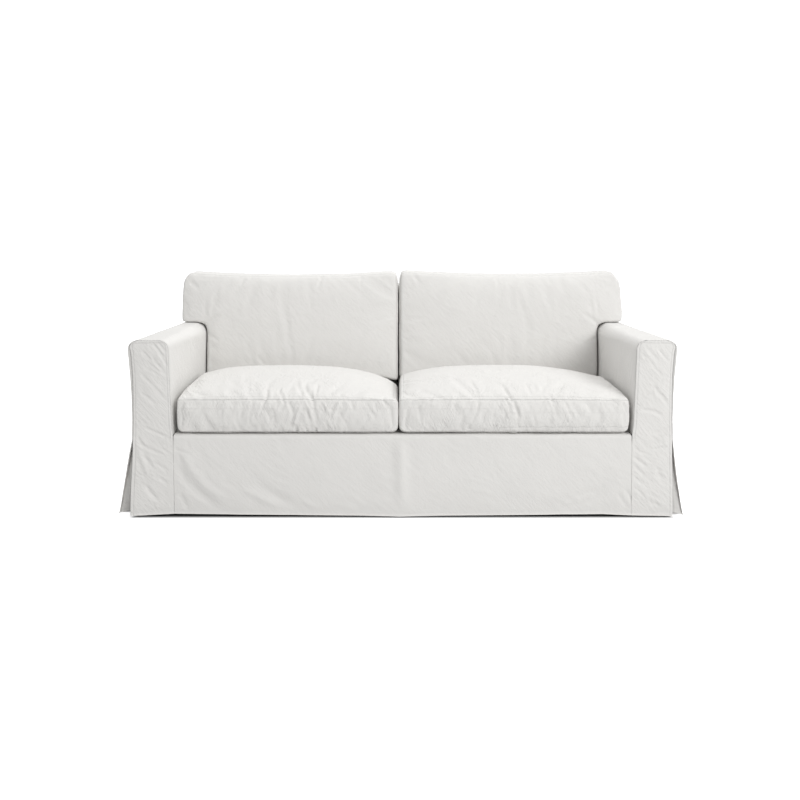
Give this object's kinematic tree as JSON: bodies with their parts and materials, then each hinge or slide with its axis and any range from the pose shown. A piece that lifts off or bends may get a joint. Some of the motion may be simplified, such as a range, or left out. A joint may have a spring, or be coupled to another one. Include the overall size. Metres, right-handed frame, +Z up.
{
  "type": "sofa slipcover",
  "caption": "Fitted cloth cover for a two-cushion sofa, with a flared skirt, corner pleats and loose filled seat and back cushions.",
  "frame": {"origin": "centre of the bounding box at the lowest point of the hem, where the floor is", "axes": "+X to the right as one faces the front, -Y out of the front, +Z up"},
  "size_m": [2.1496, 0.96, 0.8806],
  "materials": {
    "cover_cloth": "matt washed cotton, off-white",
    "cushion_cloth": "matt washed cotton, off-white, over a soft filling"
  },
  "bodies": {
    "root": {"front_skirt": "cover_cloth", "seat_deck": "cover_cloth", "inside_back": "cover_cloth", "outside_back": "cover_cloth", "arm_front_left": "cover_cloth", "arm_front_right": "cover_cloth", "inner_arm_left": "cover_cloth", "inner_arm_right": "cover_cloth", "outer_arm_left": "cover_cloth", "outer_arm_right": "cover_cloth", "back_side_left": "cover_cloth", "back_side_right": "cover_cloth", "corner_pleat_front_left": "cover_cloth", "corner_pleat_front_right": "cover_cloth", "corner_pleat_back_left": "cover_cloth", "corner_pleat_back_right": "cover_cloth", "seat_cushion_left": "cushion_cloth", "seat_cushion_right": "cushion_cloth", "back_cushion_left": "cushion_cloth", "back_cushion_right": "cushion_cloth"}
  },
  "joints": []
}
